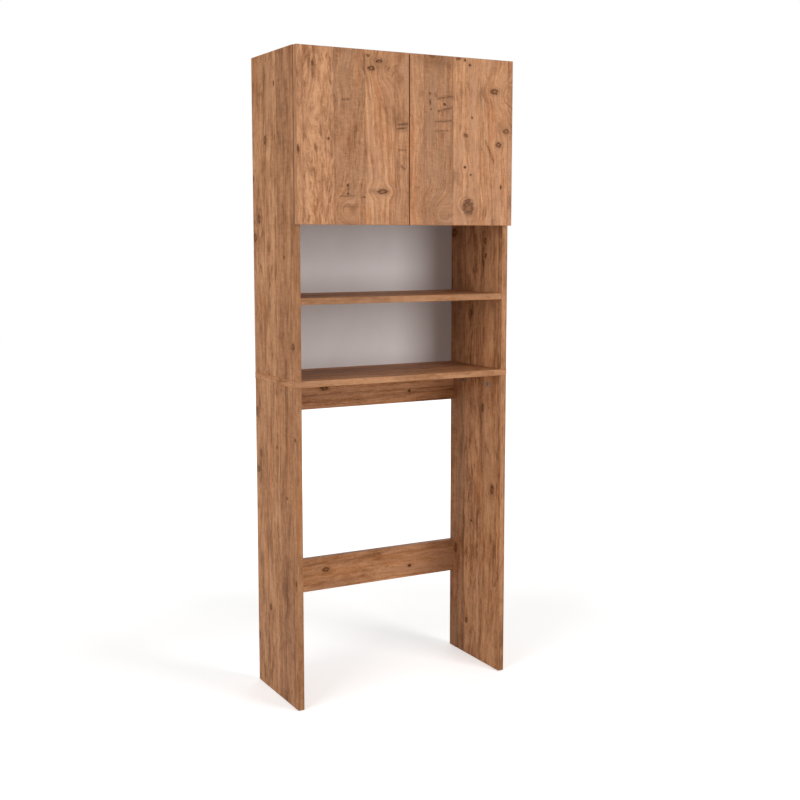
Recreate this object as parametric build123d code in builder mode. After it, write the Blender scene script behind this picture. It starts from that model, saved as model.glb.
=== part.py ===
"""A tall cabinet of wood-decor board: a pair of doors over two open niches, on two tall leg panels.

X runs to the right, Y to the back and Z up, in millimetres. The origin is on the floor, in the middle of the
whole width and depth. The left and the right door each turn on one upright axis near their outer edge.
"""

import os

from build123d import *

# Whole cabinet
width = 675.0
carcass_depth = 284.0
board = 18.0
bay_height = 900.0
lower_niche_height = 205.0
upper_niche_height = 215.0
cupboard_height = 408.0
edge_ease = 0.6
board_overhang = 1.0

# Back panel and its nails
back_thickness = 3.0
back_inset = 1.0
nail_head_height = 0.8
nail_head_radius = 3.0
nail_radius = 0.8
nail_length = 18.0
nail_end_inset = 40.0
side_nails = 6
shelf_nails = 4

# Doors
door_thickness = 18.0
door_gap = 2.5
door_reveal = 1.0
door_parting = 3.0
grip_drop = 20.0

# Inner shelf of the cupboard
inner_shelf_thickness = 16.0
inner_shelf_side_play = 1.5
inner_shelf_setback = 20.0
inner_shelf_back_play = 2.0
shelf_pin_radius = 2.5
shelf_pin_plug = 9.0
shelf_pin_reach = 8.0
shelf_pin_collar_radius = 4.5
shelf_pin_collar = 1.2
shelf_hole_pitch = 32.0
shelf_hole_count = 5
shelf_hole_inset = 50.0

# Rails between the legs
rail_height = 100.0
lower_rail_height = 250.0

# Cam connectors
cam_radius = 7.5
cam_height = 12.5
cam_setback = 34.0
cam_slot_width = 1.4
cam_slot_depth = 2.0
cam_slot_length = 9.0
bolt_thread_radius = 2.9
bolt_thread_length = 11.0
bolt_collar_radius = 3.6
bolt_collar_length = 3.0
bolt_shank_radius = 3.0
bolt_neck_radius = 1.8
bolt_neck_play = 1.0
bolt_head_radius = 3.1
bolt_head_length = 4.0
bolt_bore_radius = 4.0
panel_cam_inset = 62.0
leg_cam_inset = 75.0

# Wooden dowels
dowel_radius = 4.0
dowel_in_face = 10.0
dowel_in_end = 23.0
dowel_ease = 1.0
panel_dowel_inset = 30.0
side_dowel_inset = 110.0
leg_dowel_inset = 40.0
rail_dowel_spread = 64.0

# Long screws that hold the upper sides on the bottom board
long_screw_head_radius = 5.0
long_screw_head_height = 3.5
long_screw_radius = 3.4
long_screw_length = 50.0
long_screw_inset = 20.0

# Floor glides
glide_height = 2.0
glide_radius = 7.5
glide_nail_radius = 1.2
glide_nail_length = 14.0
glide_inset = 28.0

# Door hinges, one upright pivot each
hinge_board_distance = 62.0
hinge_cup_radius = 17.5
hinge_cup_edge_distance = 3.0
hinge_cup_wall = 1.0
hinge_cup_floor = 0.8
hinge_pivot_depth = 11.0
hinge_pin_radius = 1.0
hinge_running_clearance = 0.05
hinge_eye_radius = 2.0
hinge_eye_clearance = 0.7
hinge_boss_clearance = 0.3
hinge_boss_length = 3.0
hinge_flange_thickness = 0.8
hinge_flange_rim = 1.5
hinge_ear_spread = 48.0
hinge_ear_offset = 9.5
hinge_ear_width = 13.0
hinge_ear_margin = 7.0
hinge_ear_corner = 5.0
arm_strip_width = 7.0
arm_thickness = 1.8
arm_board_clearance = 2.2
arm_swing_clearance = 0.7
arm_straight = 6.0
arm_ramp = 10.0
arm_length = 62.0
arm_channel_width = 13.6
arm_cheek_thickness = 1.5
plate_thickness = 2.4
plate_length = 34.0
plate_width = 18.0
plate_setback = 37.0
plate_wing_spread = 32.0
plate_wing_length = 12.0
plate_wing_margin = 6.0
plate_rail_height = 4.2
plate_rail_width = 9.6
wing_corner_share = 0.8
plate_rail_clearance = 0.2

# Small screws
small_screw_radius = 1.7
small_screw_length = 13.0
small_screw_head_radius = 3.2
small_screw_head_height = 1.4
arm_screw_radius = 2.0
arm_screw_length = 4.5
arm_screw_spread = 20.0
cross_slot_width = 0.8
cross_slot_share = 0.7
cross_depth_share = 0.6
head_round_share = 0.4

# Door bumpers
bumper_radius = 5.0
bumper_inset = 30.0
bumper_rest_gap = 0.3

# Wall brackets under the top panel
bracket_width = 20.0
bracket_flange = 32.0
bracket_drop = 36.0
bracket_thickness = 2.0
bracket_inset = 60.0
bracket_hole_radius = 2.75
bracket_hole_drop = 22.0
bracket_screw_spread = 12.0

# Fits and cuts
fit = 0.1
overrun = 5.0

# Places that follow from the sizes above
overall_depth = door_thickness + door_gap + carcass_depth + back_thickness + nail_head_height
front_y = door_thickness + door_gap - overall_depth / 2
carcass_back_y = front_y + carcass_depth
back_face_y = carcass_back_y + back_thickness
door_back_y = front_y - door_gap

side_outer_x = width / 2
side_inner_x = side_outer_x - board
side_middle_x = side_outer_x - board / 2
inner_width = 2 * side_inner_x

base_top_z = bay_height + board
niche_shelf_z = base_top_z + lower_niche_height
cupboard_floor_z = niche_shelf_z + board + upper_niche_height
cupboard_bottom_z = cupboard_floor_z + board
top_panel_z = cupboard_bottom_z + cupboard_height
height = top_panel_z + board
upper_side_height = height - base_top_z
leg_height = bay_height - glide_height

door_bottom_z = cupboard_floor_z - grip_drop
door_top_z = height - door_reveal
door_height = door_top_z - door_bottom_z
door_width = (width - door_parting) / 2 - door_reveal
door_middle_x = door_parting / 2 + door_width / 2

shelf_rest_z = (cupboard_bottom_z + top_panel_z - inner_shelf_thickness) / 2
rail_y = carcass_back_y - board / 2
upper_rail_z = bay_height - rail_height

full_depth = (Align.CENTER, Align.MIN, Align.MIN)
on_end = (Align.CENTER, Align.CENTER, Align.MIN)
hanging = (Align.CENTER, Align.CENTER, Align.MAX)

os.makedirs("parts", exist_ok=True)


def save(builder, label):
    """Labels a finished piece and writes it under its own name."""
    builder.part.label = label
    export_step(builder.part, f"parts/{label}.step")


def ease_front():
    """Breaks the long edges of a board's front face."""
    front = faces().sort_by(Axis.Y)[0]
    chamfer(front.edges(), edge_ease)


def from_edges(inset):
    """The two places across the depth that lie an inset from the front and the back of the boards."""
    return (front_y + inset, carcass_back_y - inset)


def facing(points, direction):
    """Places at the points whose Z axis runs along the direction."""
    return [Location(Plane(origin=point, z_dir=direction)) for point in points]


# Cam joints. Each place lies on the joint's plane, with Z along the bolt into the board that holds the cam,
# and X towards the face in which the cam is let in.


def panel_ends(under_z, inset):
    """Joint places at both ends of a panel between the sides, with the cams in its underside."""
    places = []
    for side in (-1, 1):
        for y in from_edges(inset):
            origin = (side * side_inner_x, y, under_z + board / 2)
            places.append(Location(Plane(origin=origin, x_dir=(0, 0, -1), z_dir=(-side, 0, 0))))
    return places


def rail_ends(low_z):
    """Joint places at both ends of a rail, with the cams in its back."""
    places = []
    for side in (-1, 1):
        origin = (side * side_inner_x, rail_y, low_z + rail_height / 2)
        places.append(Location(Plane(origin=origin, x_dir=(0, 1, 0), z_dir=(-side, 0, 0))))
    return places


def leg_heads(side):
    """Joint places on top of one leg panel, with the cams in its inner face."""
    places = []
    for y in from_edges(leg_cam_inset):
        origin = (side * side_middle_x, y, bay_height)
        places.append(Location(Plane(origin=origin, x_dir=(-side, 0, 0), z_dir=(0, 0, -1))))
    return places


top_joints = panel_ends(top_panel_z, panel_cam_inset)
floor_joints = panel_ends(cupboard_floor_z, panel_cam_inset)
niche_joints = panel_ends(niche_shelf_z, panel_cam_inset)
upper_rail_joints = rail_ends(upper_rail_z)
lower_rail_joints = rail_ends(lower_rail_height)
left_leg_joints = leg_heads(-1)
right_leg_joints = leg_heads(1)
leg_joints = left_leg_joints + right_leg_joints
upper_joints = top_joints + floor_joints + niche_joints
rail_joints = upper_rail_joints + lower_rail_joints
all_cam_joints = upper_joints + rail_joints + leg_joints


def cut_cam_seats(joints):
    """Bores a board for the bolts' shanks, along its middle, and for the cams, from its face."""
    cam_places = [joint * Location((board / 2, 0, cam_setback), (0, 90, 0)) for joint in joints]
    with Locations(*joints):
        Cylinder(bolt_bore_radius, cam_setback, align=on_end, mode=Mode.SUBTRACT)
    with Locations(*cam_places):
        Cylinder(cam_radius + fit, cam_height + fit, align=hanging, mode=Mode.SUBTRACT)


def cut_bolt_holes(joints):
    """Drills a board's face for the bolts' threads."""
    with Locations(*joints):
        Cylinder(bolt_thread_radius + fit, bolt_thread_length + fit, align=hanging, mode=Mode.SUBTRACT)


# Dowels. Each place lies on the joint's plane, with Z along the dowel into the end of a board.


def panel_dowels(under_z):
    """Dowel places at both ends of a panel between the sides."""
    return panel_ends(under_z, panel_dowel_inset)


def rail_dowels(low_z):
    """Dowel places above and below the cam at both ends of a rail."""
    places = []
    for side in (-1, 1):
        for step in (-1, 1):
            z = low_z + rail_height / 2 + step * rail_dowel_spread / 2
            places += facing([(side * side_inner_x, rail_y, z)], (-side, 0, 0))
    return places


def side_feet(side):
    """Dowel places under one upper side."""
    return facing([(side * side_middle_x, y, base_top_z) for y in from_edges(side_dowel_inset)], (0, 0, 1))


def leg_tops(side):
    """Dowel places on top of one leg panel."""
    return facing([(side * side_middle_x, y, bay_height) for y in from_edges(leg_dowel_inset)], (0, 0, -1))


top_dowels = panel_dowels(top_panel_z)
floor_dowels = panel_dowels(cupboard_floor_z)
niche_dowels = panel_dowels(niche_shelf_z)
panel_end_dowels = top_dowels + floor_dowels + niche_dowels
upper_rail_dowels = rail_dowels(upper_rail_z)
lower_rail_dowels = rail_dowels(lower_rail_height)
rail_end_dowels = upper_rail_dowels + lower_rail_dowels
side_foot_dowels = side_feet(-1) + side_feet(1)
leg_top_dowels = leg_tops(-1) + leg_tops(1)
all_dowels = panel_end_dowels + rail_end_dowels + side_foot_dowels + leg_top_dowels


def cut_end_dowels(places):
    """Bores the end of a board for its dowels."""
    with Locations(*places):
        Cylinder(dowel_radius + fit, dowel_in_end + dowel_ease, align=on_end, mode=Mode.SUBTRACT)


def cut_face_dowels(places):
    """Bores the face of a board for its dowels."""
    with Locations(*places):
        Cylinder(dowel_radius + fit, dowel_in_face + dowel_ease, align=hanging, mode=Mode.SUBTRACT)


def on_side(places, side):
    """Those of the places that lie on one side of the cabinet."""
    return [place for place in places if place.position.X * side > 0]


# Places of the long screws, the nails, the shelf pins and the brackets


def screw_feet(side):
    """Places of the long screws in the underside of the bottom board, heads down."""
    return facing([(side * side_middle_x, y, bay_height) for y in from_edges(long_screw_inset)], (0, 0, -1))


all_long_screws = screw_feet(-1) + screw_feet(1)


def spread(low, high, count):
    """Evenly spaced values from low to high."""
    return [low + (high - low) * step / (count - 1) for step in range(count)]


side_nail_heights = spread(base_top_z + nail_end_inset, height - nail_end_inset, side_nails)
shelf_nail_places = spread(-inner_width / 2 + nail_end_inset, inner_width / 2 - nail_end_inset, shelf_nails)
nailed_boards_z = [low_z + board / 2 for low_z in (bay_height, niche_shelf_z, cupboard_floor_z, top_panel_z)]


def side_nail_points(side):
    """Nails down the back edge of one upper side."""
    return [(side * side_middle_x, back_face_y, z) for z in side_nail_heights]


def board_nail_points(middle_z):
    """Nails along the back edge of a board whose middle is at this height."""
    return [(x, back_face_y, middle_z) for x in shelf_nail_places]


all_nail_points = side_nail_points(-1) + side_nail_points(1)
for nailed_z in nailed_boards_z:
    all_nail_points += board_nail_points(nailed_z)


def cut_nails(points):
    """Drills for nails that are driven in from the back."""
    with Locations(*facing(points, (0, 1, 0))):
        Cylinder(nail_radius + fit, nail_length + fit, align=hanging, mode=Mode.SUBTRACT)


inner_shelf_front_y = front_y + inner_shelf_setback
shelf_pin_rows_y = (inner_shelf_front_y + shelf_hole_inset, carcass_back_y - shelf_hole_inset)
shelf_pin_z = shelf_rest_z - shelf_pin_radius
shelf_hole_steps = [step - (shelf_hole_count - 1) // 2 for step in range(shelf_hole_count)]


def pin_places(side, steps):
    """Shelf pin places in the inner face of one side, with Z into the cupboard."""
    points = [
        (side * side_inner_x, y, shelf_pin_z + step * shelf_hole_pitch)
        for y in shelf_pin_rows_y
        for step in steps
    ]
    return facing(points, (-side, 0, 0))


bracket_xs = (bracket_inset - side_inner_x, side_inner_x - bracket_inset)
bracket_hole_z = top_panel_z - bracket_hole_drop
bracket_hole_points = [(x, back_face_y, bracket_hole_z) for x in bracket_xs]
bracket_screw_y = carcass_back_y - bracket_flange / 2
bracket_screw_points = [
    (x, bracket_screw_y + step * bracket_screw_spread / 2, top_panel_z - bracket_thickness)
    for x in bracket_xs
    for step in (-1, 1)
]

# Places of the hinges. Their own X runs inwards from the side's outer face, Y to the back and Z up.

hinge_heights = (cupboard_bottom_z + hinge_board_distance, top_panel_z - hinge_board_distance)
hinge_origins = [(-side_outer_x, front_y, z) for z in hinge_heights]
cup_x = door_reveal + hinge_cup_edge_distance + hinge_cup_radius
cup_cavity_radius = hinge_cup_radius - hinge_cup_wall
cup_cavity_depth = hinge_pivot_depth + hinge_eye_radius + hinge_eye_clearance
cup_depth = cup_cavity_depth + hinge_cup_floor
pivot_x = cup_x - cup_cavity_radius + hinge_eye_clearance + hinge_eye_radius
pivot_y = -door_gap - hinge_pivot_depth
boss_start = arm_strip_width / 2 + hinge_boss_clearance
hinge_pin_length = 2 * (boss_start + hinge_boss_length)
ear_x = cup_x + hinge_ear_offset
ear_points = [(ear_x, -door_gap + hinge_flange_thickness, step * hinge_ear_spread / 2) for step in (-1, 1)]
plate_screw_points = [
    (board + plate_thickness, plate_setback, step * plate_wing_spread / 2) for step in (-1, 1)
]
open_door_x = pivot_x + hinge_pivot_depth + hinge_flange_thickness
arm_inner_x = max(board + arm_board_clearance, open_door_x + arm_swing_clearance)
channel_top_x = board + plate_thickness + plate_rail_height + plate_rail_clearance + arm_thickness
arm_screw_points = [
    (channel_top_x, plate_setback + step * arm_screw_spread / 2, 0) for step in (-1, 1)
]


def at_hinges(points):
    """The points, given in the hinges' own frame, at every hinge of the left door."""
    return [(ox + x, oy + y, oz + z) for ox, oy, oz in hinge_origins for x, y, z in points]


left_plate_screw_points = at_hinges(plate_screw_points)
left_cup_screw_points = at_hinges(ear_points)
left_arm_screw_points = at_hinges(arm_screw_points)


def cut_small_screws(places, radius, length):
    """Drills for small screws, from their heads' seats inwards."""
    with Locations(*places):
        Cylinder(radius + fit, length + fit, align=hanging, mode=Mode.SUBTRACT)


# Upper sides. The left one is drilled, and the right one mirrors it.

with BuildPart() as left_upper_side:
    with Locations((-side_middle_x, front_y, base_top_z)):
        Box(board, carcass_depth, upper_side_height, align=full_depth)
    ease_front()
    cut_bolt_holes(on_side(upper_joints, -1))
    cut_face_dowels(on_side(panel_end_dowels, -1))
    cut_end_dowels(on_side(side_foot_dowels, -1))
    with Locations(*on_side(all_long_screws, -1)):
        Cylinder(long_screw_radius + fit, long_screw_length + fit, align=hanging, mode=Mode.SUBTRACT)
    cut_nails(side_nail_points(-1))
    with Locations(*pin_places(-1, shelf_hole_steps)):
        Cylinder(shelf_pin_radius + fit, shelf_pin_plug + fit, align=hanging, mode=Mode.SUBTRACT)
    cut_small_screws(facing(left_plate_screw_points, (1, 0, 0)), small_screw_radius, small_screw_length)
save(left_upper_side, "left_upper_side")

with BuildPart() as right_upper_side:
    mirror(left_upper_side.part, about=Plane.YZ)
save(right_upper_side, "right_upper_side")

# Leg panels

with BuildPart() as left_leg_panel:
    with Locations((-side_middle_x, front_y, glide_height)):
        Box(board, carcass_depth, leg_height, align=full_depth)
    ease_front()
    cut_cam_seats(left_leg_joints)
    cut_end_dowels(on_side(leg_top_dowels, -1))
    cut_bolt_holes(on_side(rail_joints, -1))
    cut_face_dowels(on_side(rail_end_dowels, -1))
    with Locations(*[(-side_middle_x, y, glide_height) for y in from_edges(glide_inset)]):
        Cylinder(glide_nail_radius + fit, glide_nail_length + fit, align=on_end, mode=Mode.SUBTRACT)
save(left_leg_panel, "left_leg_panel")

with BuildPart() as right_leg_panel:
    mirror(left_leg_panel.part, about=Plane.YZ)
save(right_leg_panel, "right_leg_panel")

# Bottom board, across the whole width between the legs and the upper sides

with BuildPart() as bottom_board:
    with Locations((0, front_y, bay_height)):
        Box(width + 2 * board_overhang, carcass_depth, board, align=full_depth)
    ease_front()
    cut_bolt_holes(leg_joints)
    cut_face_dowels(leg_top_dowels)
    cut_face_dowels(side_foot_dowels)
    with Locations(*all_long_screws):
        Cylinder(long_screw_radius + fit, board + overrun, align=hanging, mode=Mode.SUBTRACT)
        Cone(
            long_screw_radius + fit,
            long_screw_head_radius + fit,
            long_screw_head_height + fit,
            align=hanging,
            mode=Mode.SUBTRACT,
        )
    cut_nails(board_nail_points(bay_height + board / 2))
save(bottom_board, "bottom_board")


def shelf_board(under_z, joints, dowels):
    """Makes a panel between the sides, drilled for its cams, dowels and back nails."""
    with Locations((0, front_y, under_z)):
        Box(inner_width, carcass_depth, board, align=full_depth)
    ease_front()
    cut_cam_seats(joints)
    cut_end_dowels(dowels)
    cut_nails(board_nail_points(under_z + board / 2))


with BuildPart() as niche_shelf:
    shelf_board(niche_shelf_z, niche_joints, niche_dowels)
save(niche_shelf, "niche_shelf")

with BuildPart() as cupboard_floor:
    shelf_board(cupboard_floor_z, floor_joints, floor_dowels)
save(cupboard_floor, "cupboard_floor")

with BuildPart() as top_panel:
    shelf_board(top_panel_z, top_joints, top_dowels)
    cut_small_screws(facing(bracket_screw_points, (0, 0, -1)), small_screw_radius, small_screw_length)
save(top_panel, "top_panel")

# Adjustable shelf inside the cupboard, on its four pins

inner_shelf_depth = carcass_back_y - inner_shelf_back_play - inner_shelf_front_y
inner_shelf_width = inner_width - 2 * inner_shelf_side_play

with BuildPart() as cupboard_shelf:
    with Locations((0, inner_shelf_front_y, shelf_rest_z)):
        Box(inner_shelf_width, inner_shelf_depth, inner_shelf_thickness, align=full_depth)
    ease_front()
save(cupboard_shelf, "cupboard_shelf")

with BuildPart() as shelf_pins:
    with Locations(*pin_places(-1, [0]), *pin_places(1, [0])):
        Cylinder(shelf_pin_radius, shelf_pin_plug, align=hanging)
        Cylinder(shelf_pin_radius, shelf_pin_reach, align=on_end)
        Cylinder(shelf_pin_collar_radius, shelf_pin_collar, align=on_end)
save(shelf_pins, "shelf_pins")

# Back panel, nailed on behind the upper cabinet

back_width = width - 2 * back_inset
back_height = height - bay_height - 2 * back_inset

with BuildPart() as back_panel:
    with Locations((0, carcass_back_y, bay_height + back_inset)):
        Box(back_width, back_thickness, back_height, align=full_depth)
    cut_nails(all_nail_points)
    with Locations(*facing(bracket_hole_points, (0, 1, 0))):
        Hole(bracket_hole_radius, back_thickness + overrun)
save(back_panel, "back_panel")

with BuildPart() as back_nails:
    with Locations(*facing(all_nail_points, (0, 1, 0))):
        Cylinder(nail_head_radius, nail_head_height, align=on_end)
        Cylinder(nail_radius, nail_length, align=hanging)
save(back_nails, "back_nails")

# Rails between the legs, near their rear edges

with BuildPart() as upper_rear_rail:
    with Locations((0, rail_y, upper_rail_z)):
        Box(inner_width, board, rail_height, align=on_end)
    cut_cam_seats(upper_rail_joints)
    cut_end_dowels(upper_rail_dowels)
save(upper_rear_rail, "upper_rear_rail")

with BuildPart() as lower_rear_rail:
    with Locations((0, rail_y, lower_rail_height)):
        Box(inner_width, board, rail_height, align=on_end)
    cut_cam_seats(lower_rail_joints)
    cut_end_dowels(lower_rail_dowels)
save(lower_rear_rail, "lower_rear_rail")

# Cam connectors: a bolt with a mushroom head, and the cam that draws it in

bolt_head_end = cam_setback + bolt_head_length / 2
bolt_neck_start = cam_setback - cam_radius - bolt_neck_play

with BuildPart() as cam_bolt:
    with BuildSketch(Plane.XZ):
        with BuildLine():
            Polyline(
                (0, -bolt_thread_length),
                (bolt_thread_radius, -bolt_thread_length),
                (bolt_thread_radius, 0),
                (bolt_collar_radius, 0),
                (bolt_collar_radius, bolt_collar_length),
                (bolt_shank_radius, bolt_collar_length),
                (bolt_shank_radius, bolt_neck_start),
                (bolt_neck_radius, bolt_neck_start),
                (bolt_neck_radius, bolt_head_end - bolt_head_length),
                (bolt_head_radius, bolt_head_end - bolt_head_length),
                (bolt_head_radius, bolt_head_end),
                (0, bolt_head_end),
                close=True,
            )
        make_face()
    revolve(axis=Axis.Z)

with BuildPart() as cam_bolts:
    with Locations(*all_cam_joints):
        add(cam_bolt.part)
save(cam_bolts, "cam_bolts")

# The cam's own Z points out of the board, and its face lies at zero. The bolt comes in from its own -X side.

bolt_axis_depth = board / 2

with BuildPart() as cam:
    Cylinder(cam_radius, cam_height, align=hanging)
    with Locations(Location((-cam_radius, 0, -bolt_axis_depth), (0, 90, 0))):
        Cylinder(bolt_neck_radius + 2 * fit, cam_radius, align=on_end, mode=Mode.SUBTRACT)
    with Locations(Location((-bolt_head_length, 0, -bolt_axis_depth), (0, 90, 0))):
        Cylinder(bolt_head_radius + 2 * fit, 2 * bolt_head_length, align=on_end, mode=Mode.SUBTRACT)
    with BuildSketch():
        Rectangle(cam_slot_length, cam_slot_width)
        Rectangle(cam_slot_width, cam_slot_length)
    extrude(amount=-cam_slot_depth, mode=Mode.SUBTRACT)

cam_face_in_joint = Location((board / 2, 0, cam_setback), (0, 90, 0)) * Location((0, 0, 0), (0, 0, 180))

with BuildPart() as cam_locks:
    with Locations(*[joint * cam_face_in_joint for joint in all_cam_joints]):
        add(cam.part)
save(cam_locks, "cam_locks")

# Wooden dowels

with BuildPart() as dowel:
    Cylinder(dowel_radius, dowel_in_end, align=on_end)
    Cylinder(dowel_radius, dowel_in_face, align=hanging)
    chamfer(edges().filter_by(GeomType.CIRCLE), dowel_ease)

with BuildPart() as wooden_dowels:
    with Locations(*all_dowels):
        add(dowel.part)
save(wooden_dowels, "wooden_dowels")

# Long screws, driven up through the bottom board into the upper sides

with BuildPart() as long_screw:
    Cone(long_screw_radius, long_screw_head_radius, long_screw_head_height, align=hanging)
    Cylinder(long_screw_radius, long_screw_length, align=hanging)

with BuildPart() as long_screws:
    with Locations(*all_long_screws):
        add(long_screw.part)
save(long_screws, "long_screws")

# Floor glides, nailed under the legs

with BuildPart() as glide:
    Cylinder(glide_radius, glide_height, align=on_end)
    with Locations((0, 0, glide_height)):
        Cylinder(glide_nail_radius, glide_nail_length, align=on_end)

with BuildPart() as floor_glides:
    with Locations(*[(side * side_middle_x, y, 0) for side in (-1, 1) for y in from_edges(glide_inset)]):
        add(glide.part)
save(floor_glides, "floor_glides")

# Doors. The left one is bored for its hinges, and the right one mirrors it.

with BuildPart() as left_door:
    with Locations((-door_middle_x, door_back_y, door_bottom_z)):
        Box(door_width, door_thickness, door_height, align=(Align.CENTER, Align.MAX, Align.MIN))
    chamfer(edges(), edge_ease)
    with Locations(*facing(at_hinges([(cup_x, -door_gap, 0)]), (0, 1, 0))):
        Cylinder(hinge_cup_radius + fit, cup_depth + fit, align=hanging, mode=Mode.SUBTRACT)
    cut_small_screws(facing(left_cup_screw_points, (0, 1, 0)), small_screw_radius, small_screw_length)
save(left_door, "left_door")

with BuildPart() as right_door:
    mirror(left_door.part, about=Plane.YZ)
save(right_door, "right_door")

# Hinge cups, let into the backs of the doors. These pieces are drawn in the hinges' own frame.


def looking_into_door(y):
    """A plane across the hinge's Y, with its Z towards the front."""
    return Plane(origin=(0, y, 0), x_dir=(1, 0, 0), z_dir=(0, -1, 0))


flange_face_y = -door_gap + hinge_flange_thickness
flange_radius = hinge_cup_radius + hinge_flange_rim
flange_edge_x = cup_x - hinge_cup_radius
boss_radius = hinge_pin_radius + hinge_cup_wall
boss_height = hinge_eye_clearance + hinge_eye_radius + boss_radius
boss_middle = boss_start + hinge_boss_length / 2
pin_bore_radius = hinge_pin_radius + hinge_running_clearance

with BuildPart() as hinge_cup:
    with BuildSketch(looking_into_door(-door_gap)):
        with Locations((cup_x, 0)):
            Circle(hinge_cup_radius)
    extrude(amount=cup_depth)
    with BuildSketch(looking_into_door(flange_face_y)):
        with Locations((cup_x, 0)):
            Circle(flange_radius)
        with Locations((ear_x, 0)):
            RectangleRounded(hinge_ear_width, hinge_ear_spread + 2 * hinge_ear_margin, hinge_ear_corner)
        with Locations((flange_edge_x, 0)):
            Rectangle(flange_radius, 2 * flange_radius, align=(Align.MAX, Align.CENTER), mode=Mode.SUBTRACT)
    extrude(amount=hinge_flange_thickness)
    with BuildSketch(looking_into_door(flange_face_y)):
        with Locations((cup_x, 0)):
            Circle(cup_cavity_radius)
    extrude(amount=hinge_flange_thickness + cup_cavity_depth, mode=Mode.SUBTRACT)
    with BuildSketch(looking_into_door(-door_gap - cup_cavity_depth)):
        with Locations(*[(pivot_x, step * boss_middle) for step in (-1, 1)]):
            Rectangle(2 * boss_radius, hinge_boss_length)
        with Locations((cup_x, 0)):
            Circle(cup_cavity_radius, mode=Mode.INTERSECT)
    extrude(amount=-boss_height)
    with Locations((pivot_x, pivot_y, 0)):
        Cylinder(pin_bore_radius, hinge_pin_length, mode=Mode.SUBTRACT)
    cut_small_screws(facing(ear_points, (0, 1, 0)), small_screw_radius, hinge_flange_thickness)

with BuildPart() as hinge_pin:
    with Locations((pivot_x, pivot_y, 0)):
        Cylinder(hinge_pin_radius, hinge_pin_length)

# Hinge arms: an eye round the pin, a strip that comes out of the cup and round the side's front edge, and a
# channel over the mounting plate

neck_low_y = pivot_y - hinge_eye_radius
neck_high_y = neck_low_y + arm_thickness
arm_outer_x = arm_inner_x + arm_thickness
channel_under_x = channel_top_x - arm_thickness
channel_start_y = arm_straight + arm_ramp
channel_length = arm_length - channel_start_y

with BuildPart() as hinge_arm:
    with BuildSketch():
        with BuildLine():
            Polyline(
                (pivot_x, neck_low_y),
                (arm_outer_x, neck_low_y),
                (arm_outer_x, arm_straight),
                (channel_top_x, channel_start_y),
                (channel_top_x, arm_length),
                (channel_under_x, arm_length),
                (channel_under_x, channel_start_y),
                (arm_inner_x, arm_straight),
                (arm_inner_x, neck_high_y),
                (pivot_x, neck_high_y),
                close=True,
            )
        make_face()
        with Locations((pivot_x, pivot_y)):
            Circle(hinge_eye_radius)
            Circle(pin_bore_radius, mode=Mode.SUBTRACT)
    extrude(amount=arm_strip_width / 2, both=True)
    with Locations((channel_top_x, channel_start_y, 0)):
        Box(
            channel_top_x - arm_outer_x,
            channel_length,
            arm_channel_width,
            align=(Align.MAX, Align.MIN, Align.CENTER),
        )
    with Locations((channel_under_x, channel_start_y, 0)):
        Box(
            channel_top_x,
            channel_length,
            arm_channel_width - 2 * arm_cheek_thickness,
            align=(Align.MAX, Align.MIN, Align.CENTER),
            mode=Mode.SUBTRACT,
        )
    cut_small_screws(facing(arm_screw_points, (1, 0, 0)), arm_screw_radius, arm_thickness)

# Mounting plates, screwed to the inner faces of the upper sides

with BuildPart() as mounting_plate:
    with Locations((board, plate_setback, 0)):
        Box(plate_thickness, plate_length, plate_width, align=(Align.MIN, Align.CENTER, Align.CENTER))
    with BuildSketch(Plane(origin=(board, plate_setback, 0), x_dir=(0, 1, 0), z_dir=(1, 0, 0))):
        RectangleRounded(
            plate_wing_length,
            plate_wing_spread + 2 * plate_wing_margin,
            plate_wing_margin * wing_corner_share,
        )
    extrude(amount=plate_thickness)
    with Locations((board + plate_thickness, plate_setback, 0)):
        Box(plate_rail_height, plate_length, plate_rail_width, align=(Align.MIN, Align.CENTER, Align.CENTER))
    cut_small_screws(facing(plate_screw_points, (1, 0, 0)), small_screw_radius, plate_thickness)
    cut_small_screws(facing(arm_screw_points, (1, 0, 0)), arm_screw_radius, arm_screw_length)


def cut_cross(head_radius, head_height):
    """Cuts a cross recess into a screw's head, from its top."""
    length = 2 * head_radius * cross_slot_share
    with BuildSketch(Plane.XY.offset(head_height)) as cross:
        Rectangle(length, cross_slot_width)
        Rectangle(cross_slot_width, length)
    extrude(cross.sketch, amount=-head_height * cross_depth_share, mode=Mode.SUBTRACT)


def pan_screw(radius, length):
    """Makes a small screw whose head's underside lies at zero, with its shank downwards."""
    Cylinder(small_screw_head_radius, small_screw_head_height, align=on_end)
    top = faces().sort_by(Axis.Z)[-1]
    fillet(top.edges(), small_screw_head_height * head_round_share)
    Cylinder(radius, length, align=hanging)
    cut_cross(small_screw_head_radius, small_screw_head_height)


with BuildPart() as small_screw:
    pan_screw(small_screw_radius, small_screw_length)

with BuildPart() as arm_screw:
    pan_screw(arm_screw_radius, arm_screw_length)

with BuildPart() as left_hinge_cups:
    with Locations(*hinge_origins):
        add(hinge_cup.part)

with BuildPart() as left_hinge_pins:
    with Locations(*hinge_origins):
        add(hinge_pin.part)

with BuildPart() as left_hinge_arms:
    with Locations(*hinge_origins):
        add(hinge_arm.part)

with BuildPart() as left_mounting_plates:
    with Locations(*hinge_origins):
        add(mounting_plate.part)

with BuildPart() as left_cup_screws:
    with Locations(*facing(left_cup_screw_points, (0, 1, 0))):
        add(small_screw.part)

with BuildPart() as left_plate_screws:
    with Locations(*facing(left_plate_screw_points, (1, 0, 0))):
        add(small_screw.part)

with BuildPart() as left_arm_screws:
    with Locations(*facing(left_arm_screw_points, (1, 0, 0))):
        add(arm_screw.part)

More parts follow.
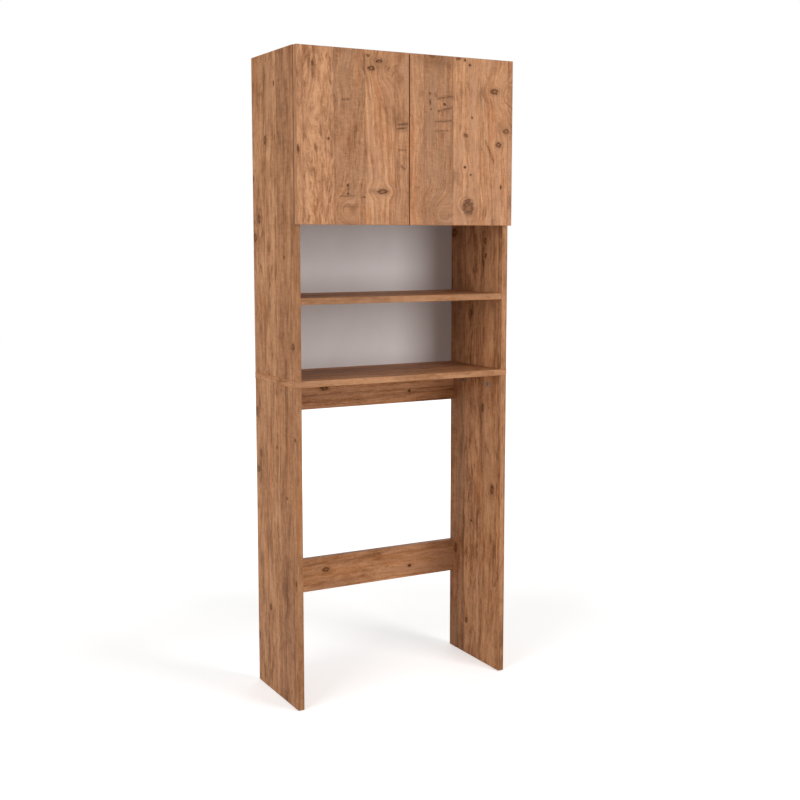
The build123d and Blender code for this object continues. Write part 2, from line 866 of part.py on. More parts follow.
hinge_pieces = {
    "hinge_cups": left_hinge_cups,
    "hinge_pins": left_hinge_pins,
    "hinge_arms": left_hinge_arms,
    "mounting_plates": left_mounting_plates,
    "cup_screws": left_cup_screws,
    "plate_screws": left_plate_screws,
    "arm_screws": left_arm_screws,
}

for piece_name, left_pieces in hinge_pieces.items():
    save(left_pieces, f"left_{piece_name}")
    with BuildPart() as right_pieces:
        mirror(left_pieces.part, about=Plane.YZ)
    save(right_pieces, f"right_{piece_name}")

# Door bumpers, stuck to the front edges of the top panel and the cupboard floor

bumper_x = door_parting / 2 + bumper_inset
bumper_points = [
    (side * bumper_x, front_y, under_z + board / 2)
    for side in (-1, 1)
    for under_z in (cupboard_floor_z, top_panel_z)
]
bumper_height = door_gap - bumper_rest_gap

with BuildPart() as bumper:
    Cylinder(bumper_radius, bumper_height, align=on_end)
    fillet(faces().sort_by(Axis.Z)[-1].edges(), bumper_height / 2)

with BuildPart() as door_bumpers:
    with Locations(*facing(bumper_points, (0, -1, 0))):
        add(bumper.part)
save(door_bumpers, "door_bumpers")

# Wall brackets, screwed under the top panel, with a hole through the back panel for the wall screw

with BuildPart() as wall_bracket:
    with BuildSketch(Plane.YZ):
        with Locations((carcass_back_y, top_panel_z)):
            Rectangle(bracket_flange, bracket_thickness, align=(Align.MAX, Align.MAX))
            Rectangle(bracket_thickness, bracket_drop, align=(Align.MAX, Align.MAX))
    extrude(amount=bracket_width / 2, both=True)

with BuildPart() as wall_brackets:
    with Locations(*[(x, 0, 0) for x in bracket_xs]):
        add(wall_bracket.part)
    with Locations(*facing([(x, carcass_back_y, bracket_hole_z) for x in bracket_xs], (0, 1, 0))):
        Hole(bracket_hole_radius, bracket_thickness)
    cut_small_screws(facing(bracket_screw_points, (0, 0, -1)), small_screw_radius, bracket_thickness)
save(wall_brackets, "wall_brackets")

with BuildPart() as bracket_screws:
    with Locations(*facing(bracket_screw_points, (0, 0, -1))):
        add(small_screw.part)
save(bracket_screws, "bracket_screws")
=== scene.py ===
"""Finish and stage for a tall wooden cabinet on two leg panels.

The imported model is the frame: every board, hinge and fastener keeps its place and its mesh.
This file gives each of them its finish, and sets up the floor, the lamps and the camera.
"""

import math

import bmesh
import bpy
from bpy.props import FloatProperty, FloatVectorProperty, PointerProperty
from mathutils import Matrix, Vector


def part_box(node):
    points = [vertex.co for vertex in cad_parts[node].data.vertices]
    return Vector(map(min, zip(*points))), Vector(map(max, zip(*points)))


bl_info = {
    "name": "Tall cabinet",
    "version": (1, 0, 0),
    "blender": (4, 5, 0),
    "location": "3D View > Sidebar > Cabinet",
    "description": "Finishes a packed cabinet in printed wood decor and stages it",
    "category": "Object",
}

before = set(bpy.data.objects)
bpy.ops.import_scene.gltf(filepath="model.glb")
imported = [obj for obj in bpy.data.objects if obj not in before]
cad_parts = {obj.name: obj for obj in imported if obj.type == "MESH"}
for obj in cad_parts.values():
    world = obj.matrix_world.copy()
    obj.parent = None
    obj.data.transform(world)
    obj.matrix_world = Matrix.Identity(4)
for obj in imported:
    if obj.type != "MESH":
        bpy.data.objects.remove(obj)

MM = 0.001
WHITE = (1.0, 1.0, 1.0)
PLANK_WIDTH = 91.3


def paint(red, green, blue):
    """A colour as a painter reads it, 0 to 255, turned into the linear colour that shaders use."""

    def linear(value):
        share = value / 255
        return share / 12.92 if share <= 0.04045 else ((share + 0.055) / 1.055) ** 2.4

    return linear(red), linear(green), linear(blue)


def colour_setting(name, description, red, green, blue):
    """A colour that a user may change."""
    tone = paint(red, green, blue)
    return FloatVectorProperty(
        name=name, description=description, default=tone, subtype="COLOR", size=3, min=0.0, max=1.0
    )


LENGTH = {"subtype": "DISTANCE", "unit": "LENGTH"}
SHARE = {"subtype": "FACTOR", "max": 1.0}
POWER = {"unit": "POWER"}


def number_setting(kind, name, description, default):
    """A number of one of the kinds above that a user may change."""
    return FloatProperty(name=name, description=description, default=default, min=0.0, **kind)


class CabinetDecorSettings(bpy.types.PropertyGroup):
    """The printed wood foil on every board."""

    light: colour_setting("Light grain", "Palest wood between the grain lines", 204, 151, 109)
    warm: colour_setting("Warm grain", "Middle tone of the wood", 171, 119, 81)
    brown: colour_setting("Brown grain", "Dark side of the grain lines", 118, 74, 42)
    blush: colour_setting("Blush", "Pinkish grey veil over part of the grain", 180, 133, 102)
    # Amber also paints the highlight along the board edges, in finish_board
    amber: colour_setting("Amber", "Orange veins along the grain", 184, 112, 62)
    grey: colour_setting("Grey plank", "Weathered tone of the greyer planks", 134, 99, 73)
    stain: colour_setting("Stain", "Soft dark smudges around knots and cracks", 104, 66, 34)
    dark: colour_setting("Knots and cracks", "Darkest marks in the print", 66, 34, 10)
    knot: colour_setting("Knot heart", "Middle of a knot, inside its dark rim", 148, 93, 50)
    chipboard: colour_setting("Chipboard", "Raw core, seen in bores and on rear edges", 204, 164, 124)
    plank_width: number_setting(LENGTH, "Plank width", "Width of one printed plank", PLANK_WIDTH * MM)
    ring_spacing: number_setting(LENGTH, "Grain spacing", "Usual distance between grain lines", 8.5 * MM)
    roughness: number_setting(SHARE, "Roughness", "Roughness of the foil", 0.52)


class CabinetHardwareSettings(bpy.types.PropertyGroup):
    """The back panel, and the metal, plastic and wooden small parts."""

    panel: colour_setting("Back panel face", "Pale lacquered face of the back panel", 212, 207, 206)
    hardboard: colour_setting("Back panel rear", "Bare hardboard at the rear", 176, 128, 88)
    nickel: colour_setting("Nickel", "Plated hinges and pins", 214, 210, 202)
    bright: colour_setting("Bright zinc", "Plated screws", 200, 203, 206)
    zinc: colour_setting("Cast zinc", "Cam locks and their bolts, and the nails", 158, 160, 163)
    galvanised: colour_setting("Galvanised steel", "Wall brackets", 186, 188, 190)
    beech: colour_setting("Beech", "Turned wooden dowels", 205, 164, 118)
    glide: colour_setting("Glide", "Plastic glides under the legs", 126, 106, 92)
    bumper: colour_setting("Bumper", "Clear soft pads behind the doors", 222, 224, 222)
    tarnish: colour_setting("Tarnish", "Dull spots on the metal", 92, 84, 74)


class CabinetStageSettings(bpy.types.PropertyGroup):
    """Floor and lamps."""

    floor_colour: colour_setting("Floor", "Plain pale floor", 240, 240, 240)
    floor_width: FloatProperty(
        name="Floor width", description="Side of the square floor", default=24.0, unit="LENGTH", min=2.0
    )
    near_glow: number_setting(
        SHARE, "Glow near", "White that the camera adds to the floor by the cabinet", 0.47
    )
    far_glow: number_setting(SHARE, "Glow far", "White that the camera adds to the floor far away", 0.88)
    sky: number_setting(SHARE, "Sky", "Even light from all sides", 0.30)
    key_power: number_setting(POWER, "Key lamp", "Large lamp at the front right", 69.0)
    side_power: number_setting(POWER, "Side lamp", "Large lamp on the left", 53.0)
    rear_power: number_setting(POWER, "Rear lamp", "Weak lamp behind the cabinet", 26.0)


class NodeSheet:
    """A node tree, with short calls that add its nodes and links."""

    def __init__(self, tree):
        self.tree = tree
        tree.nodes.clear()

    def add(self, kind, **settings):
        """One node of a kind, with its settings."""
        node = self.tree.nodes.new(kind)
        for name, value in settings.items():
            setattr(node, name, value)
        return node

    def feed(self, socket, value):
        """A link from another node's output, or a fixed value."""
        if isinstance(value, bpy.types.NodeSocket):
            self.tree.links.new(value, socket)
        else:
            plain = tuple(value) if hasattr(value, "__len__") else value
            if socket.type == "RGBA" and len(plain) == 3:
                plain = (*plain, 1.0)
            socket.default_value = plain

    def put(self, kind, *values, output=0, **settings):
        """A node with its first inputs fed in order, and one of its outputs."""
        node = self.add(kind, **settings)
        for socket, value in zip(node.inputs, values):
            self.feed(socket, value)
        return node.outputs[output]

    def named(self, kind, values, **settings):
        """A node with inputs fed by their names, with underscores for spaces, and its outputs."""
        node = self.add(kind, **settings)
        for name, value in values.items():
            self.feed(node.inputs[name.replace("_", " ")], value)
        return node.outputs

    def call(self, tree, **values):
        """A node group placed here, and its outputs."""
        return self.named("ShaderNodeGroup", values, node_tree=tree)

    def end(self, kind, value):
        """The tree's output node."""
        self.feed(self.add(kind).inputs[0], value)

    def math(self, operation, *values, clamp=False):
        """Arithmetic on one to three numbers."""
        return self.put("ShaderNodeMath", *values, operation=operation, use_clamp=clamp)

    def times(self, first, second):
        """The product of two numbers."""
        return self.math("MULTIPLY", first, second)

    def times_plus(self, first, second, more):
        """The product of two numbers, and a third one added."""
        return self.math("MULTIPLY_ADD", first, second, more)

    def over(self, first, second):
        """The first number divided by the second."""
        return self.math("DIVIDE", first, second)

    def minus(self, first, second):
        """The first number less the second."""
        return self.math("SUBTRACT", first, second)

    def total(self, *values):
        """The sum of several numbers."""
        result = values[0]
        for value in values[1:]:
            result = self.math("ADD", result, value)
        return result

    def vector(self, operation, *values):
        """Arithmetic on vectors, component by component."""
        return self.put("ShaderNodeVectorMath", *values, operation=operation)

    def split(self, vector):
        """The three components of a vector."""
        return tuple(self.named("ShaderNodeSeparateXYZ", {"Vector": vector}))

    def channels(self, colour):
        """The three channels of a colour."""
        return tuple(self.named("ShaderNodeSeparateColor", {"Color": colour}))

    def join(self, x, y, z):
        """A vector of three numbers."""
        return self.put("ShaderNodeCombineXYZ", x, y, z)

    def fit(self, value, low, high, to_low=0.0, to_high=1.0, smooth=False):
        """A value carried from one range to another, and held inside it."""
        kind = "SMOOTHSTEP" if smooth else "LINEAR"
        values = (value, low, high, to_low, to_high)
        return self.put("ShaderNodeMapRange", *values, interpolation_type=kind, clamp=True)

    def blend(self, share, first, second, mode="MIX"):
        """Two colours, mixed."""
        node = self.add("ShaderNodeMix", data_type="RGBA", blend_type=mode, clamp_factor=True)
        for index, value in ((0, share), (6, first), (7, second)):
            self.feed(node.inputs[index], value)
        return node.outputs[2]

    def darker(self, colour, shares):
        """A colour with each of its channels lowered to a share."""
        return self.blend(1.0, colour, shares, mode="MULTIPLY")

    def layers(self, colour, *coats):
        """A colour under several coats, each with its mask, how much it covers there, and its colour."""
        for mask, cover, tone in coats:
            colour = self.blend(self.times(mask, cover), colour, tone)
        return colour

    def choose(self, share, first, second):
        """Two vectors, mixed."""
        node = self.add("ShaderNodeMix", data_type="VECTOR", clamp_factor=True)
        for index, value in ((0, share), (4, first), (5, second)):
            self.feed(node.inputs[index], value)
        return node.outputs[1]

    def noise(self, place, waves, detail=2.0, roughness=0.5):
        """Cloudy noise from 0 to 1. Waves are its number a metre, one for all axes or one for each."""
        if isinstance(waves, int):
            waves = (waves, waves, waves)
        place = self.vector("MULTIPLY", place, waves)
        values = {"Vector": place, "Scale": 1.0, "Detail": detail, "Roughness": roughness}
        return self.named("ShaderNodeTexNoise", values, noise_dimensions="3D")[0]

    def lines(self, value, detail, roughness):
        """Noise along one number, for bands of uneven width."""
        values = {"W": value, "Scale": 1.0, "Detail": detail, "Roughness": roughness}
        return self.named("ShaderNodeTexNoise", values, noise_dimensions="1D")[0]

    def cells(self, place, waves):
        """Voronoi cells: the distance to their middles, and three numbers of its own for each cell."""
        values = {"Vector": self.vector("MULTIPLY", place, waves), "Scale": 1.0}
        found = self.named("ShaderNodeTexVoronoi", values, feature="F1")
        return found["Distance"], self.channels(found["Color"])

    def ramp(self, share, stops, stepped=False):
        """A colour ramp through (place, colour) stops."""
        node = self.add("ShaderNodeValToRGB")
        node.color_ramp.interpolation = "CONSTANT" if stepped else "LINEAR"
        elements = node.color_ramp.elements
        while len(elements) < len(stops):
            elements.new(1.0)
        for element, (place, colour) in zip(elements, stops):
            element.position = place
            element.color = (*colour, 1.0)
        self.feed(node.inputs[0], share)
        return node.outputs[0]


class MaterialSheet(NodeSheet):
    """A new material: its node tree, and a point's place and facing on its piece."""

    def __init__(self, name):
        self.material = bpy.data.materials.new(name)
        self.material.use_nodes = True
        super().__init__(self.material.node_tree)
        source = self.add("ShaderNodeTexCoord").outputs
        self.place = source["Object"]
        self.facing = source["Normal"]

    def finish(self, colour, roughness, height, depth, strength, **fixed):
        """The Principled shader with its bump. Every name in fixed is one of its sockets."""
        relief = {"Strength": strength, "Distance": depth, "Height": height}
        bump = self.named("ShaderNodeBump", relief)[0]
        values = {"Base Color": colour, "Roughness": roughness, "Normal": bump, **fixed}
        self.end("ShaderNodeOutputMaterial", self.named("ShaderNodeBsdfPrincipled", values)[0])
        return self.material


# Inputs of node groups that aren't plain numbers, and the socket made for each type of value
INPUT_TYPES = {
    **dict.fromkeys(("Print", "Place", "Facing", "Low", "High", "Stretch"), "VECTOR"),
    **dict.fromkeys(("Colour", "Dull Colour"), "RGBA"),
}
SOCKET_KINDS = {"VALUE": "NodeSocketFloat", "VECTOR": "NodeSocketVector", "RGBA": "NodeSocketColor"}


def start_group(name, *inputs):
    """A new node group with named inputs: its sheet and its inputs."""
    tree = bpy.data.node_groups.new(name, "ShaderNodeTree")
    for socket in inputs:
        kind = SOCKET_KINDS[INPUT_TYPES.get(socket, "VALUE")]
        tree.interface.new_socket(socket, in_out="INPUT", socket_type=kind)
    sheet = NodeSheet(tree)
    return sheet, sheet.add("NodeGroupInput").outputs


def end_group(sheet, **values):
    """The group's outputs, named with underscores for spaces, and the finished group."""
    for name, value in values.items():
        kind = SOCKET_KINDS[value.type]
        sheet.tree.interface.new_socket(name.replace("_", " "), in_out="OUTPUT", socket_type=kind)
    result = sheet.add("NodeGroupOutput").inputs
    for socket, value in zip(result, values.values()):
        sheet.feed(socket, value)
    return sheet.tree


def face_group():
    """A point's place in the foil of its own face, how far it is from an edge, and if it is in a bore.

    The grain frame is (across the grain, through the board, along the grain).
    """
    other_face_shift = 1.3
    bore_depth = 0.5 * MM
    sheet, given = start_group("Board Faces", "Place", "Facing", "Low", "High", "Show")
    turned = sheet.vector("FLOOR", sheet.vector("ADD", given["Facing"], (0.5, 0.5, 0.5)))
    _, through_side, along_side = sheet.split(turned)
    across, through, along = sheet.split(given["Place"])
    away = sheet.minus(through_side, given["Show"])
    shifted = sheet.times_plus(away, other_face_shift, along)
    broad = sheet.join(across, through, shifted)
    end_print = sheet.join(through, along, across)
    below = sheet.vector("SUBTRACT", given["Place"], given["Low"])
    above = sheet.vector("SUBTRACT", given["High"], given["Place"])
    depth_x, depth_y, depth_z = sheet.split(sheet.vector("MINIMUM", below, above))
    least = sheet.math("MINIMUM", depth_x, depth_y)
    most = sheet.math("MAXIMUM", depth_x, depth_y)
    nearest = sheet.math("MINIMUM", least, depth_z)
    return end_group(
        sheet,
        Print=sheet.choose(sheet.math("ABSOLUTE", along_side), broad, end_print),
        Edge=sheet.math("MAXIMUM", least, sheet.math("MINIMUM", most, depth_z)),
        Bore=sheet.math("GREATER_THAN", nearest, bore_depth),
        Facing=turned,
    )


def knot_group():
    """One knot or smudge: how it parts the grain, its heart, its dark rim and the stain around it.

    A mark darker than 0.6 has a heart and a rim, a paler one is a smudge, and one paler than 0.3 also
    bends the grain to one side.
    """
    small_half_width = 5 * MM
    full_half_height = 10 * MM
    faint_half_height = 18 * MM
    sheet, given = start_group(
        "Knot", "Print", "Ragged", "Across", "Along", "Half Width", "Half Height", "Darkness"
    )
    half_width = given["Half Width"]
    half_height = given["Half Height"]
    darkness = given["Darkness"]

    def fading(distance, rate):
        return sheet.math("EXPONENT", sheet.times(distance, -rate))

    across, _, along = sheet.split(given["Print"])
    from_middle = sheet.minus(across, given["Across"])
    dx = sheet.over(from_middle, half_width)
    dz = sheet.over(sheet.minus(along, given["Along"]), half_height)
    square = sheet.total(sheet.times(dx, dx), sheet.times(dz, dz))
    radius = sheet.times_plus(given["Ragged"], 1.5, sheet.math("SQRT", square))
    parting = sheet.times(from_middle, sheet.fit(darkness, 0.6, 0.9, 0.0, -0.8))
    parting = sheet.times(parting, fading(square, 0.14))
    whorl = sheet.times(half_width, sheet.fit(darkness, 0.2, 0.3, 3.2, 0.0))
    whorl = sheet.times(whorl, fading(square, 0.35))
    has_heart = sheet.times(darkness, sheet.fit(darkness, 0.6, 0.65))
    whole = sheet.times(sheet.fit(radius, 1.15, 0.7, smooth=True), has_heart)
    fullness = sheet.fit(half_height, full_half_height, faint_half_height, 1.0, 0.4)
    is_small = sheet.math("LESS_THAN", half_width, small_half_width)
    ring = sheet.math("MAXIMUM", sheet.fit(radius, 0.2, 0.75, smooth=True), is_small)
    return end_group(
        sheet,
        Pull=sheet.total(parting, whorl),
        Heart=sheet.times(whole, fullness),
        Rim=sheet.times(whole, ring),
        Stain=sheet.times(fading(sheet.times(radius, radius), 0.6), darkness),
    )


def crack_group():
    """One thin ragged crack or saw mark: its dark line and the stained band around it."""
    ragged_reach = 9 * MM
    sheet, given = start_group(
        "Crack", "Print", "Ragged", "Broken", "Across", "Along", "Length", "Width", "Slant"
    )
    across, _, along = sheet.split(given["Print"])
    dx = sheet.minus(across, given["Across"])
    dz = sheet.minus(along, given["Along"])
    cosine = sheet.math("COSINE", given["Slant"])
    sine = sheet.math("SINE", given["Slant"])
    run = sheet.total(sheet.times(dx, cosine), sheet.times(dz, sine))
    rise = sheet.minus(sheet.times(dz, cosine), sheet.times(dx, sine))
    rise = sheet.times_plus(given["Ragged"], ragged_reach, rise)
    off = sheet.over(sheet.math("ABSOLUTE", rise), given["Width"])
    reach = sheet.over(sheet.math("ABSOLUTE", run), given["Length"])
    inside = sheet.fit(reach, 0.52, 0.38, smooth=True)
    line = sheet.times(sheet.fit(off, 0.6, 0.2, smooth=True), inside)
    band = sheet.times(sheet.fit(off, 3.5, 0.4, smooth=True), inside)
    return end_group(sheet, Line=sheet.times(line, given["Broken"]), Stain=sheet.times(band, 0.4))


# For each plank of the repeating print: how light it is, how grey, and how streaky
PLANK_SHARES = (
    (0.42, 0.85, 0.50),
    (0.56, 0.05, 0.20),
    (0.57, 0.10, 0.35),
    (0.46, 0.40, 0.60),
    (0.56, 0.05, 0.70),
    (0.50, 0.15, 0.60),
    (0.48, 0.15, 0.70),
    (0.46, 0.20, 0.60),
    (0.42, 0.25, 0.55),
    (0.59, 0.05, 0.75),
    (0.56, 0.05, 0.85),
    (0.58, 0.05, 0.70),
    (0.54, 0.05, 1.00),
    (0.42, 0.60, 0.50),
    (0.58, 0.10, 0.25),
    (0.51, 0.35, 0.45),
)


def plank_group():
    """The planks side by side: tone, grey and streaks of each, its own place in the grain, its joint."""
    wander_reach = 3 * MM
    own_shift_across = 0.371
    own_shift_along = 1.713
    border_start = 3.5 * MM
    border_end = 0.3 * MM
    sheet, given = start_group("Planks", "Print", "Width", "Joint")
    across, through, along = sheet.split(given["Print"])
    wander = sheet.minus(sheet.noise(given["Print"], (3, 3, 9)), 0.5)
    moved = sheet.times_plus(wander, wander_reach, sheet.minus(across, given["Joint"]))
    count = sheet.over(moved, given["Width"])
    number = sheet.math("FLOOR", count)
    repeat = len(PLANK_SHARES)
    turn = sheet.math("FRACT", sheet.over(sheet.total(number, 0.5), repeat))
    stops = [(index / repeat, shares) for index, shares in enumerate(PLANK_SHARES)]
    light, grey, streaky = sheet.channels(sheet.ramp(turn, stops, stepped=True))
    own_across = sheet.times_plus(number, own_shift_across, across)
    own_along = sheet.times_plus(number, own_shift_along, along)
    inner = sheet.math("FRACT", count)
    gap = sheet.math("MINIMUM", inner, sheet.minus(1.0, inner))
    gap = sheet.times(gap, given["Width"])
    return end_group(
        sheet,
        Light=light,
        Grey=grey,
        Streaky=streaky,
        Own_Place=sheet.join(own_across, through, own_along),
        Own_Number=number,
        Border=sheet.fit(gap, border_start, border_end, smooth=True),
    )


# Noises of the grain: waves a metre across, through and along, then detail and roughness
GRAIN_NOISES = {
    "Fibre": ((215, 215, 32), 4.0, 0.7),
    "Streak": ((62, 62, 7), 5.0, 0.65),
    "Cloud": ((30, 30, 12), 5.0, 0.65),
    "Fleck": ((105, 105, 30), 4.0, 0.65),
    "Ripple": ((60, 60, 210), 3.0, 0.6),
    "Pore": ((900, 900, 60), 2.0, 0.5),
}


def grain_group():
    """The grain of one plank: growth lines, fibres, streaks, clouds, flecks, ripples and pores.

    Coarse widens all of it across the grain, and lengthens the noises along it a little less.
    """
    sway_reach = 75 * MM
    quiver_reach = 13 * MM
    bands_to_next_plank = 7.31
    sheet, given = start_group("Grain", "Place", "Number", "Pull", "Spacing", "Coarse")
    place = given["Place"]
    coarse = given["Coarse"]
    across, _, _ = sheet.split(place)
    sway = sheet.minus(sheet.noise(place, (6, 6, 1.6), 1.0), 0.5)
    quiver = sheet.minus(sheet.noise(place, (40, 40, 16), 4.0, 0.65), 0.5)
    drift = sheet.times_plus(sway, sway_reach, sheet.times(quiver, quiver_reach))
    moved = sheet.total(drift, given["Pull"])
    bands = sheet.over(sheet.total(across, moved), sheet.times(given["Spacing"], coarse))
    bands = sheet.times_plus(given["Number"], bands_to_next_plank, bands)
    bent = sheet.vector("ADD", place, sheet.join(moved, 0.0, 0.0))
    longer = sheet.math("POWER", coarse, 0.7)
    bent = sheet.vector("DIVIDE", bent, sheet.join(coarse, 1.0, longer))
    veil_place = sheet.vector("ADD", bent, (5.0, 3.0, 1.0))
    return end_group(
        sheet,
        Rings=sheet.lines(bands, 3.0, 0.7),
        Veil=sheet.noise(veil_place, (42, 42, 5), 4.0, 0.6),
        **{name: sheet.noise(bent, *values) for name, values in GRAIN_NOISES.items()},
    )


def foil_group(groups, decor):
    """The whole print at a point: colour, height and roughness, before any knot or crack."""
    sheet, given = start_group("Printed Foil", "Print", "Pull", "Joint", "Coarse")
    planks = sheet.call(
        groups["planks"], Print=given["Print"], Width=decor.plank_width, Joint=given["Joint"]
    )
    grain = sheet.call(
        groups["grain"],
        Place=planks["Own Place"],
        Number=planks["Own Number"],
        Pull=given["Pull"],
        Spacing=decor.ring_spacing,
        Coarse=given["Coarse"],
    )
    grey = planks["Grey"]
    streaky = planks["Streaky"]

    def swing(name, amount):
        return sheet.times(sheet.minus(grain[name], 0.5), amount)

    tone = sheet.total(
        planks["Light"],
        swing("Rings", sheet.times_plus(streaky, -0.6, 1.05)),
        swing("Fibre", sheet.times_plus(streaky, 0.5, 0.95)),
        swing("Streak", sheet.times_plus(streaky, 1.0, 0.6)),
        swing("Cloud", sheet.times_plus(streaky, 0.5, 0.7)),
        swing("Ripple", sheet.times_plus(grey, 0.5, 0.32)),
    )
    wood = sheet.ramp(tone, [(0.05, decor.brown), (0.50, decor.warm), (0.92, decor.light)])
    blush = sheet.fit(grain["Veil"], 0.50, 0.64)
    blush_cover = sheet.over(sheet.times_plus(streaky, -0.45, 0.7), given["Coarse"])
    amber = sheet.fit(grain["Veil"], 0.43, 0.30)
    greying = sheet.times(grey, sheet.fit(grain["Cloud"], 0.40, 0.62))
    smudge = sheet.fit(grain["Cloud"], 0.42, 0.28)
    threshold = sheet.fit(streaky, 0.0, 1.0, 0.70, 0.56)
    fleck = sheet.math("MULTIPLY", sheet.minus(grain["Fleck"], threshold), 9.0, clamp=True)
    pale = sheet.times(streaky, sheet.fit(sheet.total(grain["Fleck"], threshold), 1.02, 0.94))
    pore = sheet.fit(grain["Pore"], 0.62, 0.74)
    colour = sheet.layers(
        wood,
        (blush, blush_cover, decor.blush),
        (amber, 0.5, decor.amber),
        (greying, 0.68, decor.grey),
        (smudge, 0.35, decor.stain),
        (fleck, 0.75, decor.brown),
        (pale, 0.55, decor.light),
        (pore, 0.4, decor.dark),
        (planks["Border"], 0.22, decor.dark),
    )
    height = sheet.total(
        sheet.times(grain["Fibre"], 0.5),
        sheet.times(grain["Rings"], 0.3),
        sheet.times(pore, -0.8),
        sheet.times(fleck, -0.2),
    )
    rough = sheet.total(
        decor.roughness, swing("Fibre", 0.10), sheet.times(pore, 0.12), sheet.times(fleck, 0.06)
    )
    return end_group(sheet, Colour=colour, Height=height, Roughness=rough)


def chipboard_group():
    """Raw chipboard: pressed chips of many tones, with gaps between them."""
    sheet, given = start_group("Chipboard", "Place", "Colour")
    distance, tones = sheet.cells(given["Place"], (900, 900, 420))
    wide = sheet.noise(given["Place"], 140, 3.0)
    mixed = sheet.times_plus(tones[0], 0.7, sheet.times(wide, 0.5))
    shaded = sheet.darker(given["Colour"], (0.66, 0.56, 0.47))
    colour = sheet.blend(sheet.fit(mixed, 0.25, 0.8), shaded, given["Colour"])
    return end_group(sheet, Colour=colour, Height=sheet.times(distance, -1.0))


def metal_group():
    """Wear on metal: fine lines, dull spots and small scratches. It is built once, at the first call."""
    name = "Worn Metal"
    if name in bpy.data.node_groups:
        return bpy.data.node_groups[name]
    sheet, given = start_group(
        name, "Place", "Stretch", "Colour", "Dull Colour", "Dullness", "Roughness"
    )
    place = given["Place"]
    lines = sheet.noise(place, given["Stretch"], 3.0, 0.6)
    spots = sheet.fit(sheet.noise(place, 240, 4.0, 0.65), 0.46, 0.72)
    ridge = sheet.math("ABSOLUTE", sheet.minus(sheet.noise(place, (420, 260, 110), 1.0), 0.5))
    worn_here = sheet.fit(sheet.noise(place, 90), 0.48, 0.6)
    scratch = sheet.times(sheet.fit(ridge, 0.008, 0.002), worn_here)
    dull = sheet.times(spots, given["Dullness"])
    colour = sheet.blend(dull, given["Colour"], given["Dull Colour"])
    paler = sheet.blend(0.5, given["Colour"], WHITE)
    rough = sheet.total(
        given["Roughness"],
        sheet.times(sheet.minus(lines, 0.5), 0.25),
        sheet.times(dull, 0.3),
        sheet.times(scratch, 0.15),
    )
    return end_group(
        sheet,
        Colour=sheet.layers(colour, (scratch, 0.5, paler)),
        Roughness=rough,
        Height=sheet.times_plus(scratch, -0.8, lines),
    )


